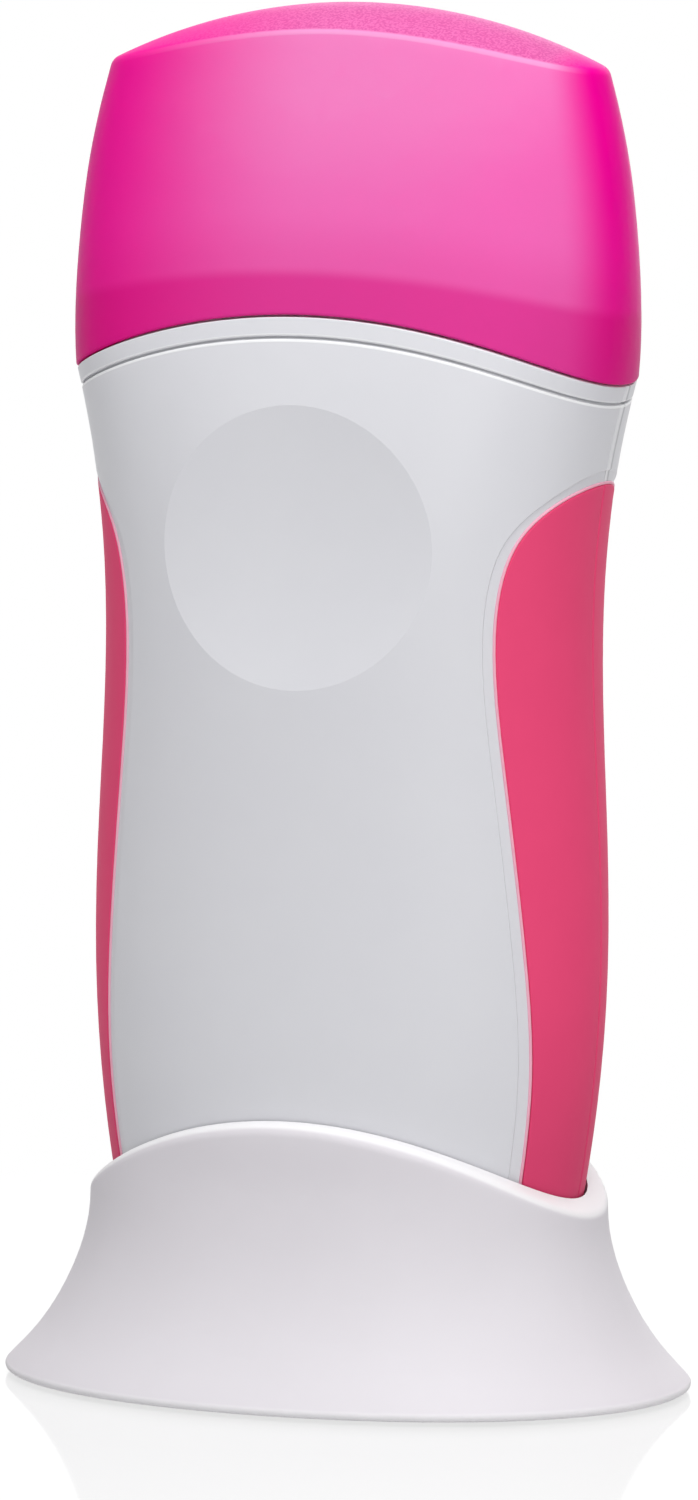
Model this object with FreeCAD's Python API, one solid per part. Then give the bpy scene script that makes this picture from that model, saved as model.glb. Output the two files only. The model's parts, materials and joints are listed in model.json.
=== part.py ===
import FreeCAD, Part
import math
import os

# Roll-on wax heater: a handset that warms a wax cartridge, its frosted cap and the stand it rests in.
# Millimetres. +Z is up, the front faces -Y, and the origin is on the table under the middle of the stand.

V = FreeCAD.Vector
X_AXIS = V(1, 0, 0)
Y_AXIS = V(0, 1, 0)
Z_AXIS = V(0, 0, 1)
FAR = 120.0                      # reach of the blocks that only cut or split
PROUD = 1.0                      # how far a cutter stands out of the surface it cuts
ROOT = 0.5                       # how far a rib or boss reaches into the wall it grows from
NEAR = 0.01                      # two places closer than this are the same
SHARP = 0.5                      # faces that turn by more than this angle, in radians, meet in an edge
ARCH_OVERRUN = 1.3               # how far an arch is drawn on, as a share of its span
CORNER_LIMIT = 0.98              # largest corner of a block, as a share of its half depth
BEND_SHARE = 0.45                # share of a straight run that the bend at its end may take

# ---------------------------------------------------------------------- driving sizes: outer forms
# Each section is (height, half width, half depth) of a rounded cross-section of the outside.
HANDSET_SECTIONS = (
    (8.0, 29.0, 18.3),
    (22.0, 32.2, 21.1),
    (36.0, 34.4, 22.5),
    (55.0, 35.9, 23.0),
    (75.0, 35.6, 23.3),
    (95.0, 34.5, 24.2),
    (112.0, 34.5, 25.0),
    (125.0, 35.9, 24.8),
    (137.0, 38.6, 23.5),
    (150.0, 43.2, 20.8),
)
CAP_SECTIONS = (
    (132.0, 38.3, 24.8),
    (140.0, 39.2, 23.1),
    (150.0, 39.5, 20.7),
    (158.0, 39.1, 18.7),
    (167.0, 38.1, 16.3),
    (177.0, 36.0, 13.3),
    (185.0, 33.8, 10.8),
    (192.0, 31.6, 8.6),
)
STAND_SECTIONS = (
    (0.6, 48.6, 36.5),
    (4.0, 45.5, 34.0),
    (8.0, 42.2, 31.2),
    (12.0, 39.8, 29.0),
    (17.0, 37.6, 27.1),
    (24.0, 36.1, 25.7),
    (31.0, 36.0, 25.4),
    (42.0, 37.6, 25.5),
)
# Fullness of a cross-section: 2 is an ellipse, more is squarer. It changes evenly with height.
HANDSET_FULLNESS = (8.0, 1.95, 150.0, 2.42)
CAP_FULLNESS = (132.0, 2.41, 192.0, 2.22)
STAND_FULLNESS = (0.6, 2.1, 42.0, 2.25)

HANDSET_WALL = 2.2
HANDSET_FLOOR = 2.4
HANDSET_FOOT_ROUND = 3.0
CAP_WALL = 1.6
CAP_CROWN_ROUND = 2.0            # rounding of the crease round the cap's crown
CAP_RIM_ROUND = 0.3
CROWN_TOP_Z = 188.0              # the very top of the cap
CROWN_LONG_RADIUS = 78.5         # the crown's arch, seen from the front
CROWN_CROSS_RADIUS = 19.2        # the crown's arch, seen from the side
CROWN_SHOULDER = 14.0            # half depth where the crown's side profile turns straight
CROWN_SKIRT = 20.0               # how much farther that straight part runs

# The handset ends and the cap begins on one arch, highest at the middle.
EDGE_TOP_Z = 146.9
EDGE_FALL = 9.6
EDGE_SPAN = 39.2                 # half width over which the arch falls by that much
CAP_GAP = 0.3                    # between the cap's rim and the collar
COLLAR_HEIGHT = 2.5              # band between the cap and the groove
GROOVE_WIDTH = 0.4
SEAM_WIDTH = 0.24                # fine line where the two shells meet
LINE_DEPTH = 0.6                 # depth of the groove and of the seam line
LINE_ROUND = 0.25                # rounding of the edges along both

DIMPLE_Z = 115.9
DIMPLE_RADIUS = 19.1
DIMPLE_DEPTH = 2.6
DIMPLE_OVERRUN = 1.25            # how far its surface is drawn on, as a share of its radius
DIMPLE_STEPS = 12                # rows and columns that its surface is drawn through
TRACE_POINTS = 600               # points read off each cross-section for them

# ---------------------------------------------------------------------- driving sizes: grips
# Front edge of the right-hand grip, as (half width, height), from the bottom up to the seam.
GRIP_EDGE = (
    (25.6, 12.5),
    (28.4, 28.0),
    (30.3, 45.0),
    (29.5, 65.0),
    (27.5, 85.0),
    (26.3, 100.0),
    (26.8, 110.0),
    (29.4, 118.0),
    (33.1, 122.3),
    (39.0, 126.2),
)
GRIP_THICKNESS = 1.2
GRIP_CLEARANCE = 0.05
GRIP_BORDER = 1.3                # lowered border of the shell round a grip
GRIP_BORDER_DEPTH = 0.25
GRIP_EDGE_ROUND = 0.3
GRIP_SEAM_GAP = 0.12             # from a grip's end face to the seam plane
GRIP_REACH = 20.0                # outline beyond the last point, clear of the handset

# ---------------------------------------------------------------------- driving sizes: stand
STAND_WALL = 2.4
STAND_TOP_SOLID = 3.4            # solid height under the rim, where skirt and cup join
STAND_RIM_ROUND = 1.7
STAND_FOOT_ROUND = 0.7
RIM_TOP_Z = 38.6
RIM_FALL = 11.4
RIM_SPAN = 33.6
POCKET_CLEARANCE = 0.35
CUP_WALL = 2.0
BASE_PLATE_Z = 1.2
BASE_PLATE_THICKNESS = 2.0
BASE_PLATE_CLEARANCE = 0.25
BASE_BOSS_RADIUS = 3.0
BASE_BOSS_INSET = 6.2            # from the skirt's inner wall to the boss's centre
BASE_BOSS_Y = 9.0
BASE_BOSS_HEIGHT = 16.0
BASE_SCREW_SINK = 1.0            # depth of a screw's head in the base plate
BASE_SCREW_LENGTH = 7.0
BASE_HOLE_SPARE = 0.4            # pilot hole beyond the screw's tip
PAD_RADIUS = 4.5
PAD_RECESS = 0.6
PAD_CLEARANCE = 0.1
PAD_ROUND = 0.3
PAD_X = 28.0
PAD_Y = 18.0

# ---------------------------------------------------------------------- driving sizes: screws
SCREW_RADIUS = 1.25
SCREW_HEAD_RADIUS = 2.3
SCREW_HEAD_HEIGHT = 1.6
SCREW_HEAD_ROUND = 0.64
SCREW_CLEARANCE = 0.2            # round a shank or a head
SCREW_BITE = 0.1                 # radial clearance of a shank in its pilot hole
SCREW_RECESS_RADIUS = 0.8        # cross recess in a head
SCREW_RECESS_DEPTH = 0.8
SMALL_SCREW_RADIUS = 0.9         # the board's and the heater clamp's screws
SMALL_HEAD_RADIUS = 1.8
SMALL_HEAD_HEIGHT = 1.1
SMALL_RECESS_RADIUS = 0.45
SMALL_RECESS_DEPTH = 0.55

# ---------------------------------------------------------------------- driving sizes: neck frame
NECK_WALL = 1.6
NECK_CLEARANCE = 0.35            # to the shells
NECK_CAP_CLEARANCE = 0.45        # to the cap
NECK_FOOT_Z = 134.0              # near the dish's upper edge, so that both have room
NECK_TOP_Z = 152.8
NECK_TOP_FALL = 4.7
NECK_TOP_SPAN = 36.6
NECK_RUN_OUT = 6.0               # how far the neck's form is drawn on below its foot
NECK_HEADROOM = 2.0              # and above its top
DECK_TOP_Z = 145.5
DECK_THICKNESS = 2.0
SHELF_THICKNESS = 2.0
SHELF_REACH = 2.6
BEAD_X = -2.0
BEAD_SIZE = 3.4
BEAD_HEIGHT = 0.25
BEAD_RISE = 3.6                  # snap bead's middle above the deck

# ---------------------------------------------------------------------- driving sizes: wax cartridge
TANK_HALF_WIDTH = 24.0
TANK_HALF_DEPTH = 12.5
TANK_CORNER = 8.0
TANK_WALL = 1.2
TANK_BOTTOM_Z = 72.2
TANK_BOTTOM_ROUND = 2.0
WAX_LEVEL_Z = 128.0
WAX_CLEARANCE = 0.05
SEAL_THICKNESS = 0.8
HEAD_FLANGE_THICKNESS = 2.0
HEAD_FLANGE_REACH = 2.6          # flange beyond the tank's side
HEAD_FLANGE_ROUND = 0.6
HEAD_SPIGOT = 3.5
HEAD_SPIGOT_CLEARANCE = 0.15
HEAD_TOWER_INSET = 1.8           # tower within the flange, at the bottom
HEAD_WELL_WALL = 4.5             # tower wall round the feed well, at the bottom
HEAD_CHEEK = 3.2                 # thickness of the cheeks that carry the roller
HEAD_LIP = 1.4                   # trough wall beside the roller, at its thinnest
HEAD_LIP_Z = 164.5
HEAD_CHEEK_TOP = 4.6             # cheek above the roller's axis
HEAD_TOP_CORNER = 4.0
HEAD_TROUGH_FLOOR = 2.0          # under the roller, over the feed well
HEAD_SLOT_LENGTH = 34.0
HEAD_SLOT_WIDTH = 7.0
ROLLER_AXIS_Z = 167.0
ROLLER_RADIUS = 8.0
ROLLER_LENGTH = 42.0
ROLLER_EDGE_ROUND = 0.8
ROLLER_SIDE_CLEARANCE = 0.4
ROLLER_CAVITY_CLEARANCE = 0.5
JOURNAL_RADIUS = 1.9
JOURNAL_LENGTH = 2.2
JOURNAL_CLEARANCE = 0.06

# ---------------------------------------------------------------------- driving sizes: heater
CHAMBER_CLEARANCE = 0.5          # round the tank
CHAMBER_WALL = 1.2
CHAMBER_FLOOR_GAP = 0.8          # under the hanging tank
HEATER_HALF_WIDTH = 12.0
HEATER_HEIGHT = 24.0
HEATER_THICKNESS = 3.0
HEATER_CORNER = 1.0
HEATER_RISE = 25.8               # middle of the heating element above the tank's bottom
CLAMP_THICKNESS = 0.8
CLAMP_HEIGHT = 15.0
CLAMP_CORNER = 2.0
CLAMP_SCREW_X = 15.0
CLAMP_BOSS_RADIUS = 2.3
CLAMP_SCREW_SPARE = 0.5          # from a clamp screw's tip to the chamber's wall
FUSE_RADIUS = 1.9
FUSE_LENGTH = 11.0
FUSE_END_ROUND = 0.5
FUSE_LEAD_RADIUS = 0.4
FUSE_CLEARANCE = 0.02            # to the chamber's wall
FUSE_GAP_BELOW = 3.0             # from the heating element down to the fuse
CRADLE_THICKNESS = 3.0
CRADLE_CLEARANCE = 0.15
CRADLE_LIP = 2.0
CRADLE_LIP_HEIGHT = 4.0
CRADLE_LEDGE = 5.0               # ledge under the chamber's rim, inward of the tank's side
CHAMBER_SEAT_CLEARANCE = 0.1

# ---------------------------------------------------------------------- driving sizes: mains side
INLET_Z = 48.5
INLET_HALF_WIDTH = 10.0
INLET_HALF_HEIGHT = 6.4
INLET_DEPTH = 17.0
INLET_SETBACK = 0.9              # face behind the shell's deepest point
INLET_CLEARANCE = 0.1
INLET_LOBE_RADIUS = 4.1
INLET_WAIST = 5.8                # height of the well between its two lobes
INLET_WELL_DEPTH = 11.0
INLET_FLANGE = 1.4
INLET_FLANGE_DEPTH = 3.5
PIN_SPACING = 8.6
PIN_RADIUS = 1.2
PIN_ROOT_RADIUS = 1.5            # thicker part held in the housing
PIN_SETBACK = 2.2                # from the inlet's face to the pin's tip
PIN_TIP_ROUND = 0.5
PIN_TAIL = 0.8                   # what stands out in front of the board
PIN_CLEARANCE = 0.03
BOARD_HALF_WIDTH = 20.0
BOARD_HEIGHT = 27.0
BOARD_THICKNESS = 1.6
BOARD_TOP_GAP = 2.0              # under the cradle's shelf
BOARD_INLET_GAP = 1.0            # between the board and the inlet's back
BOARD_POST_RADIUS = 2.5
BOARD_POST_X = 16.4
BOARD_POST_INSET = 4.2           # from the board's top or bottom edge
BOARD_SCREW_LENGTH = 5.0         # shank beyond the board
BOARD_HOLE_DEPTH = 6.0
CAPACITOR_SIZE = (16.0, 6.0, 7.5)
CAPACITOR_PLACE = (-11.0, 17.0)  # left side, and distance of its top below the board's top
CAPACITOR_ROUND = 0.6
DISC_RADIUS = 1.9
DISC_HEIGHT = 6.0
DISC_PLACE = (11.5, 20.5)
RESISTOR_RADIUS = 1.25
RESISTOR_LENGTH = 8.0
RESISTOR_PLACE = (-4.0, 5.0)
RESISTOR_PITCH = 3.4
WIRE_RADIUS = 0.85
WIRE_X = 12.5
WIRE_START_Z = 44.0
WIRE_TURN_Z = 50.0               # where the leads leave the board
WIRE_RISE_Z = 58.0               # where they turn up beside the chamber
WIRE_NOTCH = 1.6                 # half width of the cradle's notches for them

SHELL_SCREWS = ((20.0, 20.5), (25.0, 57.5))    # (distance from the middle, height)
SHELL_BOSS_RADIUS = 3.4
SHELL_WEB = 3.0                  # web of the rear boss under a screw head
SHELL_SCREW_BITE = 7.0
SHELL_HOLE_SPARE = 1.0           # pilot hole beyond the screw's tip


# ---------------------------------------------------------------------- shapes from the sizes
def fullness_at(rule, z):
    low_z, low, high_z, high = rule
    return low + (high - low) * (z - low_z) / (high_z - low_z)


def ring_wire(z, half_width, half_depth, fullness):
    """A closed cross-section of four equal-handed quarter curves."""
    pull = (8.0 * 0.5 ** (1.0 / fullness) - 4.0) / 3.0
    edges = []
    for turn in range(4):
        across = turn % 2 == 1
        start = V(half_width, 0, 0)
        end = V(0, half_depth, 0)
        near_start = V(half_width, pull * half_depth, 0)
        near_end = V(pull * half_width, half_depth, 0)
        sign_x = 1 if turn in (0, 3) else -1
        sign_y = 1 if turn in (0, 1) else -1
        poles = [V(p.x * sign_x, p.y * sign_y, z) for p in (start, near_start, near_end, end)]
        if across:
            poles.reverse()
        curve = Part.BezierCurve()
        curve.setPoles(poles)
        edges.append(curve.toShape())
    return Part.Wire(edges)


def skin(sections, rule, inset=0.0):
    """The solid inside a form's outer surface, drawn in by inset all round."""
    wires = []
    for z, half_width, half_depth in sections:
        wires.append(ring_wire(z, half_width - inset, half_depth - inset, fullness_at(rule, z)))
    return Part.makeLoft(wires, True, False)


def handset_skin(inset=0.0):
    return skin(HANDSET_SECTIONS, HANDSET_FULLNESS, inset)


def cap_skin(inset=0.0):
    return skin(CAP_SECTIONS, CAP_FULLNESS, inset)


def stand_skin(inset=0.0):
    return skin(STAND_SECTIONS, STAND_FULLNESS, inset)


def section_at(sections, z):
    """Half width and half depth at a height, in a straight line between or beyond sections."""
    index = 0
    while index < len(sections) - 2 and z > sections[index + 1][0]:
        index += 1
    lower, upper = sections[index], sections[index + 1]
    share = (z - lower[0]) / (upper[0] - lower[0])
    half_width = lower[1] + share * (upper[1] - lower[1])
    half_depth = lower[2] + share * (upper[2] - lower[2])
    return half_width, half_depth


def box(x0, y0, z0, x1, y1, z1):
    return Part.makeBox(x1 - x0, y1 - y0, z1 - z0, V(x0, y0, z0))


def slab(z0, z1):
    return box(-FAR, -FAR, z0, FAR, FAR, z1)


def front_half(gap=0.0):
    return box(-FAR, -FAR, -FAR, FAR, -gap, 2 * FAR)


def rear_half(gap=0.0):
    return box(-FAR, gap, -FAR, FAR, FAR, 2 * FAR)


def rod(centre, radius, length, axis):
    return Part.makeCylinder(radius, length, centre, axis)


def arch_radius(fall, span):
    return (span * span + fall * fall) / (2.0 * fall)


def arch_z(top_z, fall, span, x):
    radius = arch_radius(fall, span)
    return top_z - radius + math.sqrt(radius * radius - x * x)


def below_arch(top_z, fall, span):
    """Everything under an arch that runs from front to back."""
    reach = ARCH_OVERRUN * span
    side_z = arch_z(top_z, fall, span, reach)
    arc = Part.Arc(V(-reach, -FAR, side_z), V(0, -FAR, top_z), V(reach, -FAR, side_z))
    corners = [
        V(reach, -FAR, side_z),
        V(FAR, -FAR, side_z),
        V(FAR, -FAR, -FAR),
        V(-FAR, -FAR, -FAR),
        V(-FAR, -FAR, side_z),
        V(-reach, -FAR, side_z),
    ]
    lines = [Part.makeLine(a, b) for a, b in zip(corners, corners[1:])]
    outline = Part.Wire([arc.toShape()] + lines)
    return Part.Face(outline).extrude(V(0, 2 * FAR, 0))


def below_edge(drop=0.0):
    return below_arch(EDGE_TOP_Z - drop, EDGE_FALL, EDGE_SPAN)


def below_rim(drop=0.0):
    return below_arch(RIM_TOP_Z - drop, RIM_FALL, RIM_SPAN)


def under_crown(inset=0.0):
    """The crown's solid: a wheel about an axis from front to back, with a rounded tread."""
    hub_z = CROWN_TOP_Z - CROWN_LONG_RADIUS
    tread = CROWN_CROSS_RADIUS - inset
    centre_z = CROWN_TOP_Z - CROWN_CROSS_RADIUS
    top_z = CROWN_TOP_Z - inset
    shoulder = CROWN_SHOULDER - inset
    shoulder_z = centre_z + math.sqrt(tread * tread - shoulder * shoulder)
    slope = shoulder / (shoulder_z - centre_z)
    wide = shoulder + CROWN_SKIRT
    wide_z = shoulder_z - slope * (wide - shoulder)
    arc = Part.Arc(V(0, -shoulder, shoulder_z), V(0, 0, top_z), V(0, shoulder, shoulder_z))
    corners = [
        V(0, shoulder, shoulder_z),
        V(0, wide, wide_z),
        V(0, wide, hub_z),
        V(0, -wide, hub_z),
        V(0, -wide, wide_z),
        V(0, -shoulder, shoulder_z),
    ]
    lines = [Part.makeLine(a, b) for a, b in zip(corners, corners[1:])]
    profile = Part.Face(Part.Wire([arc.toShape()] + lines))
    return profile.revolve(V(0, 0, hub_z), Y_AXIS, 360)


def rounded_block(half_width, half_depth, corner, z0, z1):
    """An upright block with rounded corners in plan."""
    plate = box(-half_width, -half_depth, z0, half_width, half_depth, z1)
    uprights = [e for e in plate.Edges if abs(e.Vertexes[0].Z - e.Vertexes[1].Z) > 0.5 * (z1 - z0)]
    return plate.makeFillet(min(corner, CORNER_LIMIT * half_depth), uprights)


def both_sides(shape):
    """A shape and its mirror image across the middle plane."""
    return shape, shape.mirror(V(0, 0, 0), X_AXIS)


def mirrored_places(pairs):
    """Each (x, z) place and its twin on the other side of the middle."""
    places = []
    for x, z in pairs:
        places.append((x, z))
        places.append((-x, z))
    return places


def four_corners(x, y):
    return [(sx * x, sy * y) for sx in (1, -1) for sy in (1, -1)]


def fuse_all(shapes):
    result = shapes[0]
    for other in shapes[1:]:
        result = result.fuse(other)
    return result.removeSplitter()


def largest_solid(shape):
    return max(shape.Solids, key=lambda solid: solid.Volume)


def circles(shape):
    return [e for e in shape.Edges if isinstance(e.Curve, Part.Circle)]


def edges_at_height(shape, z):
    """Edges that lie all round at one height."""
    return [e for e in shape.Edges if abs(e.BoundBox.ZMin - z) < NEAR and abs(e.BoundBox.ZMax - z) < NEAR]


def trimmed_edges(shape):
    """Edges where a moulded form's own skin meets an arch or a split face, and not a level one."""
    found = []
    for edge in shape.Edges:
        faces = shape.ancestorsOfType(edge, Part.Face)
        trimming = [f for f in faces if isinstance(f.Surface, (Part.Plane, Part.Cylinder))]
        level = [f for f in trimming if isinstance(f.Surface, Part.Plane) and abs(f.Surface.Axis.z) > 0.5]
        if len(trimming) == 1 and not level:
            found.append(edge)
    return found


def save(name, shape):
    """Write one node, as its solid or as a group of separate solids."""
    solids = shape.Solids
    out = solids[0] if len(solids) == 1 else Part.makeCompound(solids)
    if not out.isValid():
        raise ValueError(name + " is not a valid solid")
    out.exportStep("parts/" + name + ".step")
    extent = out.optimalBoundingBox()
    print(name, len(solids), round(out.Volume, 1), [round(v, 1) for v in (
        extent.XMin, extent.XMax, extent.YMin, extent.YMax, extent.ZMin, extent.ZMax)])


# ---------------------------------------------------------------------- screws
def screw(head_face, shank_length, axis):
    """A pan-head screw: head_face is the middle of the face under its head, axis points to its tip."""
    top = head_face - axis * SCREW_HEAD_HEIGHT
    head = rod(top, SCREW_HEAD_RADIUS, SCREW_HEAD_HEIGHT, axis)
    outer = [e for e in circles(head) if (e.Curve.Center - top).Length < NEAR]
    head = head.makeFillet(SCREW_HEAD_ROUND, outer)
    shank = rod(head_face, SCREW_RADIUS, shank_length, axis)
    recess = rod(top, SCREW_RECESS_RADIUS, SCREW_RECESS_DEPTH, axis)
    return head.fuse(shank).removeSplitter().cut(recess)


def small_screw(head_face, shank_length, axis):
    """A smaller flat-headed screw, for the board and the heater clamp."""
    top = head_face - axis * SMALL_HEAD_HEIGHT
    head = rod(top, SMALL_HEAD_RADIUS, SMALL_HEAD_HEIGHT, axis)
    shank = rod(head_face, SMALL_SCREW_RADIUS, shank_length, axis)
    recess = rod(top, SMALL_RECESS_RADIUS, SMALL_RECESS_DEPTH, axis)
    return head.fuse(shank).removeSplitter().cut(recess)


# ---------------------------------------------------------------------- handset shells
def dimple_cutter(outside):
    """What the thumb dish takes away: its floor follows the outside, sunk most at the middle."""
    reach = DIMPLE_OVERRUN * DIMPLE_RADIUS
    grid = []
    for row in range(DIMPLE_STEPS + 1):
        z = DIMPLE_Z - reach + 2.0 * reach * row / DIMPLE_STEPS
        wire = outside.slice(Z_AXIS, z)[0]
        trace = [p for p in wire.discretize(Number=TRACE_POINTS) if p.y < 0]
        trace.sort(key=lambda p: p.x)
        line = []
        for column in range(DIMPLE_STEPS + 1):
            x = -reach + 2.0 * reach * column / DIMPLE_STEPS
            after = next(i for i, p in enumerate(trace) if p.x >= x)
            a, b = trace[after - 1], trace[after]
            y = a.y + (b.y - a.y) * (x - a.x) / (b.x - a.x)
            spread = math.hypot(x, z - DIMPLE_Z) / DIMPLE_RADIUS
            line.append(V(x, y + DIMPLE_DEPTH * (1.0 - spread ** 2), z))
        grid.append(line)
    surface = Part.BSplineSurface()
    surface.interpolate(grid)
    block = surface.toShape().extrude(V(0, -FAR, 0))
    return Part.Solid(block) if block.ShapeType == "Shell" else block


def dimple_backing():
    """Thickens the wall inward behind the dish, so that it is as strong there as elsewhere."""
    disc = rod(V(0, -FAR, DIMPLE_Z), DIMPLE_RADIUS, FAR, Y_AXIS).common(slab(0, NECK_FOOT_Z))
    return disc.common(handset_skin(HANDSET_WALL - ROOT)).cut(handset_skin(HANDSET_WALL + DIMPLE_DEPTH))


def softened(piece):
    """A piece of the housing's outer layer with its edges along the groove and the seam rounded."""
    return piece.makeFillet(LINE_ROUND, trimmed_edges(piece))


def housing_half(outside, half):
    """The solid form of one shell's outside: body and collar band, parted by the groove, on a core."""
    split = half(SEAM_WIDTH / 2)
    groove_top = below_edge(CAP_GAP + COLLAR_HEIGHT)
    groove_low = below_edge(CAP_GAP + COLLAR_HEIGHT + GROOVE_WIDTH)
    body = softened(largest_solid(outside.common(groove_low).common(split)))
    collar = softened(largest_solid(outside.cut(groove_top).common(split)))
    core = outside.common(handset_skin(LINE_DEPTH)).common(half())
    return core.fuse([body, collar])


def build_outside():
    """The handset's whole outer form, with its rounded foot, cut off under the cap's rim."""
    outside = handset_skin().common(below_edge(CAP_GAP))
    return outside.makeFillet(HANDSET_FOOT_ROUND, edges_at_height(outside, HANDSET_SECTIONS[0][0]))


def build_half(outside, half):
    """One hollow shell with its shelves and the seats of its two grips, but without bosses."""
    floor_z = HANDSET_SECTIONS[0][0]
    inside = handset_skin(HANDSET_WALL).common(slab(floor_z + HANDSET_FLOOR, 2 * FAR))
    shell = housing_half(outside, half).cut(inside)

    # shelves that carry the cradle and the neck frame
    for shelf_top in (cradle_bottom_z(), NECK_FOOT_Z):
        level = slab(shelf_top - SHELF_THICKNESS, shelf_top).common(half())
        shelf = handset_skin(HANDSET_WALL - ROOT).common(level).cut(handset_skin(HANDSET_WALL + SHELF_REACH))
        shell = shell.fuse(shelf)

    # lowered borders and recesses for the grips
    shallow = handset_skin(-PROUD).cut(handset_skin(GRIP_BORDER_DEPTH))
    deep = handset_skin(-PROUD).cut(handset_skin(GRIP_THICKNESS))
    for outline in both_sides(grip_prism(GRIP_BORDER)):
        shell = shell.cut(shallow.common(outline))
    for outline in both_sides(grip_prism(GRIP_CLEARANCE)):
        shell = shell.cut(deep.common(outline))
    return shell


def build_front_shell(outside):
    front = build_half(outside, front_half)
    front = front.fuse(dimple_backing())
    for x, z in mirrored_places(SHELL_SCREWS):
        boss = rod(V(x, -FAR, z), SHELL_BOSS_RADIUS, FAR, Y_AXIS)
        front = front.fuse(boss.common(handset_skin(HANDSET_WALL - ROOT)))
    front = front.removeSplitter()
    for x, z in mirrored_places(SHELL_SCREWS):
        depth = SHELL_SCREW_BITE + SHELL_HOLE_SPARE
        front = front.cut(rod(V(x, -depth, z), SCREW_RADIUS + SCREW_BITE, depth, Y_AXIS))
    return largest_solid(front.cut(dimple_cutter(outside)))


def build_rear_shell(outside):
    rear = build_half(outside, rear_half)
    near_wall = handset_skin(HANDSET_WALL - ROOT)
    for x, z in mirrored_places(SHELL_SCREWS):
        rear = rear.fuse(rod(V(x, 0, z), SHELL_BOSS_RADIUS, FAR, Y_AXIS).common(near_wall))
    for x, z in board_posts():
        rear = rear.fuse(rod(V(x, board_face_y(), z), BOARD_POST_RADIUS, FAR, Y_AXIS).common(near_wall))
    rear = rear.removeSplitter()
    for x, z in mirrored_places(SHELL_SCREWS):
        rear = rear.cut(rod(V(x, 0, z), SCREW_RADIUS + SCREW_CLEARANCE, SHELL_WEB, Y_AXIS))
        rear = rear.cut(rod(V(x, SHELL_WEB, z), SCREW_HEAD_RADIUS + SCREW_CLEARANCE, FAR, Y_AXIS))
    for x, z in board_posts():
        hole = rod(V(x, board_face_y(), z), SMALL_SCREW_RADIUS + SCREW_BITE, BOARD_HOLE_DEPTH, Y_AXIS)
        rear = rear.cut(hole)
    rear = rear.cut(inlet_block(INLET_CLEARANCE, board_face_y(), FAR))
    return largest_solid(rear)


def build_shell_screws():
    reach = SHELL_WEB + SHELL_SCREW_BITE
    places = [V(x, SHELL_WEB, z) for x, z in mirrored_places(SHELL_SCREWS)]
    return Part.makeCompound([screw(place, reach, -Y_AXIS) for place in places])


# ---------------------------------------------------------------------- grips
def grip_prism(grow=0.0):
    """Front-view outline of the right-hand grip, from far in front to far behind."""
    points = [V(x - grow, -FAR, z) for x, z in GRIP_EDGE]
    points[0].z -= grow
    last = points[-1]
    last.z += grow
    curve = Part.BSplineCurve()
    curve.interpolate(points)
    side = last.x + GRIP_REACH
    corners = [last, V(side, -FAR, last.z), V(side, -FAR, points[0].z), points[0]]
    lines = [Part.makeLine(a, b) for a, b in zip(corners, corners[1:])]
    return Part.Face(Part.Wire([curve.toShape()] + lines)).extrude(V(0, 2 * FAR, 0))


def build_grip(half):
    """The right-hand grip pad of one half, with its outer edges rounded."""
    outside = handset_skin()
    layer = outside.cut(handset_skin(GRIP_THICKNESS - GRIP_CLEARANCE))
    pad = largest_solid(layer.common(grip_prism()).common(half(GRIP_SEAM_GAP)))
    outer = []
    for edge in pad.Edges:
        middle = edge.valueAt(0.5 * (edge.FirstParameter + edge.LastParameter))
        on_outside = outside.Shells[0].distToShape(Part.Vertex(middle))[0] < NEAR
        faces = pad.ancestorsOfType(edge, Part.Face)
        first, second = [face.normalAt(*face.Surface.parameter(middle)) for face in faces]
        if on_outside and first.getAngle(second) > SHARP:
            outer.append(edge)
    return pad.makeFillet(GRIP_EDGE_ROUND, outer)


# ---------------------------------------------------------------------- neck frame
def neck_sections(inset):
    """The neck follows the shells' inside below and the cap's inside above."""
    rows = []
    side_limit = section_at(CAP_SECTIONS, EDGE_TOP_Z - EDGE_FALL)[0] - CAP_WALL - NECK_CAP_CLEARANCE
    middle_z = 0.5 * (NECK_FOOT_Z + DECK_TOP_Z)
    for z in (NECK_FOOT_Z - NECK_RUN_OUT, NECK_FOOT_Z, middle_z, DECK_TOP_Z, NECK_TOP_Z + NECK_HEADROOM):
        shell_width, shell_depth = section_at(HANDSET_SECTIONS, z)
        cap_depth = section_at(CAP_SECTIONS, z)[1]
        within_shell = HANDSET_WALL + NECK_CLEARANCE
        within_cap = CAP_WALL + NECK_CAP_CLEARANCE
        half_width = min(shell_width - within_shell, side_limit)
        half_depth = min(shell_depth - within_shell, cap_depth - within_cap)
        rows.append((z, half_width - inset, half_depth - inset))
    return rows


def neck_skin(inset=0.0):
    return skin(neck_sections(inset), HANDSET_FULLNESS)


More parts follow.
